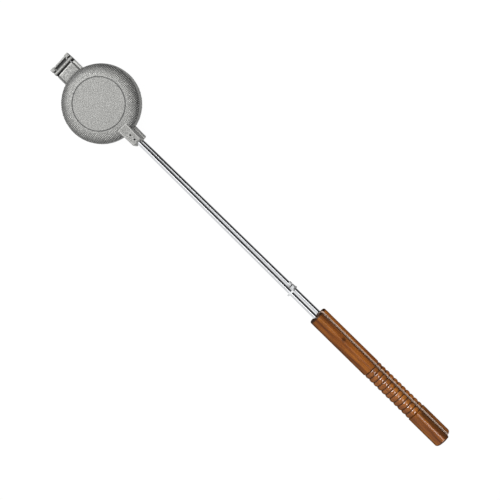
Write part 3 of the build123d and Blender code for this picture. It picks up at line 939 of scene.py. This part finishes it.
for part in (lattice.vertices, lattice.edges, lattice.polygons):
    part.foreach_set("select", [False] * len(part))
for index in unplaced:
    lattice.vertices[index].select = True
bpy.context.tool_settings.mesh_select_mode = (True, False, False)
bpy.ops.object.mode_set(mode="EDIT")
bpy.ops.mesh.delete(type="VERT")
bpy.ops.object.mode_set(mode="OBJECT")
bpy.ops.object.shade_smooth_by_angle(angle=SMOOTH_UP_TO)
lattice.materials.clear()
lattice.materials.append(pebble_material)
print("pebbles on one pan:", len(lattice.vertices) // pebble_corners)

# %% [markdown]
# ## Pebbles for the bottom pan
#
# The bottom pan has the same shoulder, turned over about the tool axis. A copy with its own mesh is
# turned by half a turn about that axis, in the mesh itself, so that the object stays at the origin.
# A turn keeps the faces pointing outwards, which a mirror wouldn't.

# %% Turn a copy over for the bottom pan
bottom_pebbles = top_pebbles.copy()
bottom_pebbles.data = top_pebbles.data.copy()
bottom_pebbles.name = "bottom_pebbles"
turned_over = (Matrix.Translation((0, 0, parting_z)) @ Matrix.Rotation(math.pi, 4, "X")
               @ Matrix.Translation((0, 0, -parting_z)))
bottom_pebbles.data.transform(turned_over)
bpy.context.scene.collection.objects.link(bottom_pebbles)
for piece, body in ((top_pebbles, "top_half"), (bottom_pebbles, "bottom_half")):
    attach(piece, body)
    print(piece.name, "rides on", body)
bpy.ops.object.select_all(action="DESELECT")

# %% [markdown]
# ## Floor
#
# The iron lies on a pale floor that reads as white paper. For what the camera and the metal see, the
# floor gives out its own light, and it is white to the camera. The small rest of its colour is plain
# paint in the studio's light, and that rest keeps a soft shadow under the iron. A white floor all
# round would take the contrast out of the bright metal. So the metal sees a floor that is white
# near the pans and on the near side, and dark on the far side of the rods.

# %% The floor
FLOOR_W = 6.0
FLOOR_PAINT = (0.9, 0.9, 0.9, 1)
FLOOR_OWN_LIGHT_SHARE = 0.94
FLOOR_OWN_LIGHT = 1.03
FLOOR_FAR_SIDE_RANGE = (13 * MM, 26 * MM)
FLOOR_OFF_PAN_RANGE = (75 * MM, 95 * MM)
FLOOR_IN_METAL_TONES = [(0.0, (0.86, 0.86, 0.86)), (1.0, (0.06, 0.06, 0.06))]
WHITE = (1, 1, 1, 1)

bpy.ops.mesh.primitive_plane_add(size=FLOOR_W)
floor = bpy.context.object
floor.name = "floor"
floor_material, tree, shader, place = new_material("floor_paper")
shader.inputs["Base Color"].default_value = FLOOR_PAINT
shader.inputs["Roughness"].default_value = 0.9
path = node(tree, "ShaderNodeLightPath").outputs
in_metal = strongest(tree, path["Is Glossy Ray"], path["Is Transmission Ray"])
seen = strongest(tree, path["Is Camera Ray"], in_metal)
far_side = range_node(tree, axes_of(tree, place)[1], *FLOOR_FAR_SIDE_RANGE)
off_pan = range_node(tree, vector_node(tree, "LENGTH", place, gives="Value"), *FLOOR_OFF_PAN_RANGE)
floor_in_metal = ramp_node(tree, product(tree, far_side, off_pan), FLOOR_IN_METAL_TONES)
own_colour = blend_node(tree, in_metal, WHITE, floor_in_metal)
own_light = node(tree, "ShaderNodeEmission", Color=own_colour, Strength=FLOOR_OWN_LIGHT).outputs[0]
shown = node(tree, "ShaderNodeMixShader", i0=product(tree, seen, FLOOR_OWN_LIGHT_SHARE),
             i1=shader.outputs[0], i2=own_light).outputs[0]
tree.links.new(shown, tree.nodes["Material Output"].inputs["Surface"])
floor.data.materials.append(floor_material)
print("floor:", FLOOR_W, "m wide")

# %% [markdown]
# ## The room
#
# Bright metal shows the room more than it shows its own colour. A picture of a real studio could be
# wrapped round the scene, but a soft gradient is easier to steer. From one side to the other the room
# is dark on the far side, then has one narrow and very bright band, and is an even light grey from
# there to the near side, a little dimmer near the floor. It draws the dark and white bands along the
# rods. Only mirrors see it: dull surfaces get a plain grey fill, and the camera sees white.

# %% The room
BRIGHT_SIDE = Vector((-0.25, -0.97, 0.0)).normalized()
ROOM_TONES = [(0.0, (0.03, 0.03, 0.032)), (0.38, (0.04, 0.04, 0.043)),
              (0.43, (2.9, 2.9, 2.92)), (0.50, (2.9, 2.9, 2.92)),
              (0.54, (0.62, 0.62, 0.63)), (0.64, (0.62, 0.62, 0.63)),
              (0.80, (0.80, 0.81, 0.83)), (1.0, (0.80, 0.81, 0.83))]
ROOM_LOW_RANGE = (0.05, 0.3)
ROOM_LOW_TONES = [(0.0, (0.70, 0.70, 0.70)), (1.0, (1, 1, 1))]
ROOM_FILL = (0.55, 0.55, 0.55, 1)

world = bpy.data.worlds.new("studio")
bpy.context.scene.world = world
world.use_nodes = True
tree = world.node_tree
direction = node(tree, "ShaderNodeTexCoord").outputs["Generated"]
towards = vector_node(tree, "DOT_PRODUCT", direction, tuple(BRIGHT_SIDE), gives="Value")
from_dark_side = math_node(tree, "ADD", math_node(tree, "MULTIPLY", towards, 0.5), 0.5)
room = ramp_node(tree, from_dark_side, ROOM_TONES)
rise = axes_of(tree, direction)[2]
low_dimmed = ramp_node(tree, range_node(tree, rise, *ROOM_LOW_RANGE), ROOM_LOW_TONES)
dimmed_room = blend_node(tree, 1.0, room, low_dimmed, "MULTIPLY")
path = node(tree, "ShaderNodeLightPath").outputs
filled = blend_node(tree, path["Is Glossy Ray"], ROOM_FILL, dimmed_room)
room_colour = blend_node(tree, path["Is Camera Ray"], filled, WHITE)
tree.links.new(room_colour, tree.nodes["Background"].inputs["Color"])
print("room tones:", len(ROOM_TONES))

# %% [markdown]
# ## Lamps
#
# Three soft lamps face the middle of the iron: the key lamp high past its pans, a small one high past
# its handle, and a weak one from the far side that no mirror sees. They give the cast metal and the
# wood their light and the iron its soft shadow.

# %% The soft lamps


def soft_lamp(name, place, size, power):
    """A square area lamp that faces the middle of the iron."""
    bpy.ops.object.light_add(type="AREA", location=place)
    lamp = bpy.context.object
    lamp.name = name
    lamp.data.size = size
    lamp.data.energy = power
    middle = Vector((handle_front_x / 2, 0, parting_z))
    lamp.rotation_euler = (middle - Vector(place)).to_track_quat("-Z", "Y").to_euler()
    return lamp


soft_lamp("key_lamp", place=(-0.85, -0.38, 1.6), size=0.8, power=16.5)
soft_lamp("rear_lamp", place=(1.15, 0.14, 1.9), size=0.40, power=5)
far_lamp = soft_lamp("far_lamp", place=(0.25, 1.3, 0.9), size=0.8, power=5.0)
far_lamp.visible_glossy = False
print("soft lamps:", len(bpy.data.lights))

# %% [markdown]
# ## Softboxes that only mirrors see
#
# The white spots on the beads and the highlights on the rods come from two large softboxes, hung so
# high that all parts of the iron see them in nearly the same direction. They are switched off for
# dull surfaces, so they add sparkle and no light. Their places and sizes are shares of their height, and
# their power is worked out from a brightness, so that a larger box isn't dimmer.

# %% The softboxes
SOFTBOX_Z = 8.0


def softbox(name, along, sideways, length, width, brightness):
    """A rectangular area lamp that faces down and lights no dull surface."""
    bpy.ops.object.light_add(type="AREA", location=(along * SOFTBOX_Z, sideways * SOFTBOX_Z, SOFTBOX_Z))
    box = bpy.context.object
    box.name = name
    box.data.shape = "RECTANGLE"
    box.data.size = length * SOFTBOX_Z
    box.data.size_y = width * SOFTBOX_Z
    box.data.energy = brightness * math.pi * box.data.size * box.data.size_y
    box.visible_diffuse = False


softbox("left_softbox", along=-0.85, sideways=-0.20, length=0.42, width=0.72, brightness=20.0)
softbox("right_softbox", along=0.80, sideways=-0.06, length=0.34, width=0.40, brightness=26.0)
print("softboxes at", SOFTBOX_Z, "m")

# %% [markdown]
# ## Camera
#
# The picture looks down on the iron from 1.6 m, leaning a little to its far side, with the camera
# turned so that the iron runs from the upper left to the lower right. The turn is written in the
# order in which it was measured: about Z, then Y, then X.

# %% The camera
CAMERA_AIM = Vector((0.2740, -0.0007, 0.0181))
CAMERA_DISTANCE = 1.6
CAMERA_TURN = (math.radians(-9.52), math.radians(-0.35), math.radians(44.45))
FOCAL_PX = 1214.0
FRAME_PX = 500.0
SENSOR_MM = 36.0

bpy.ops.object.camera_add()
camera = bpy.context.object
camera.rotation_mode = "ZYX"
camera.rotation_euler = CAMERA_TURN
bpy.context.view_layer.update()
camera.location = CAMERA_AIM + camera.matrix_world.to_3x3() @ Vector((0, 0, CAMERA_DISTANCE))
camera.data.sensor_width = SENSOR_MM
camera.data.lens = FOCAL_PX / FRAME_PX * SENSOR_MM
bpy.context.scene.camera = camera
bpy.context.scene.view_settings.view_transform = "Standard"
bpy.ops.object.select_all(action="DESELECT")
print("lens:", round(camera.data.lens, 1), "mm")
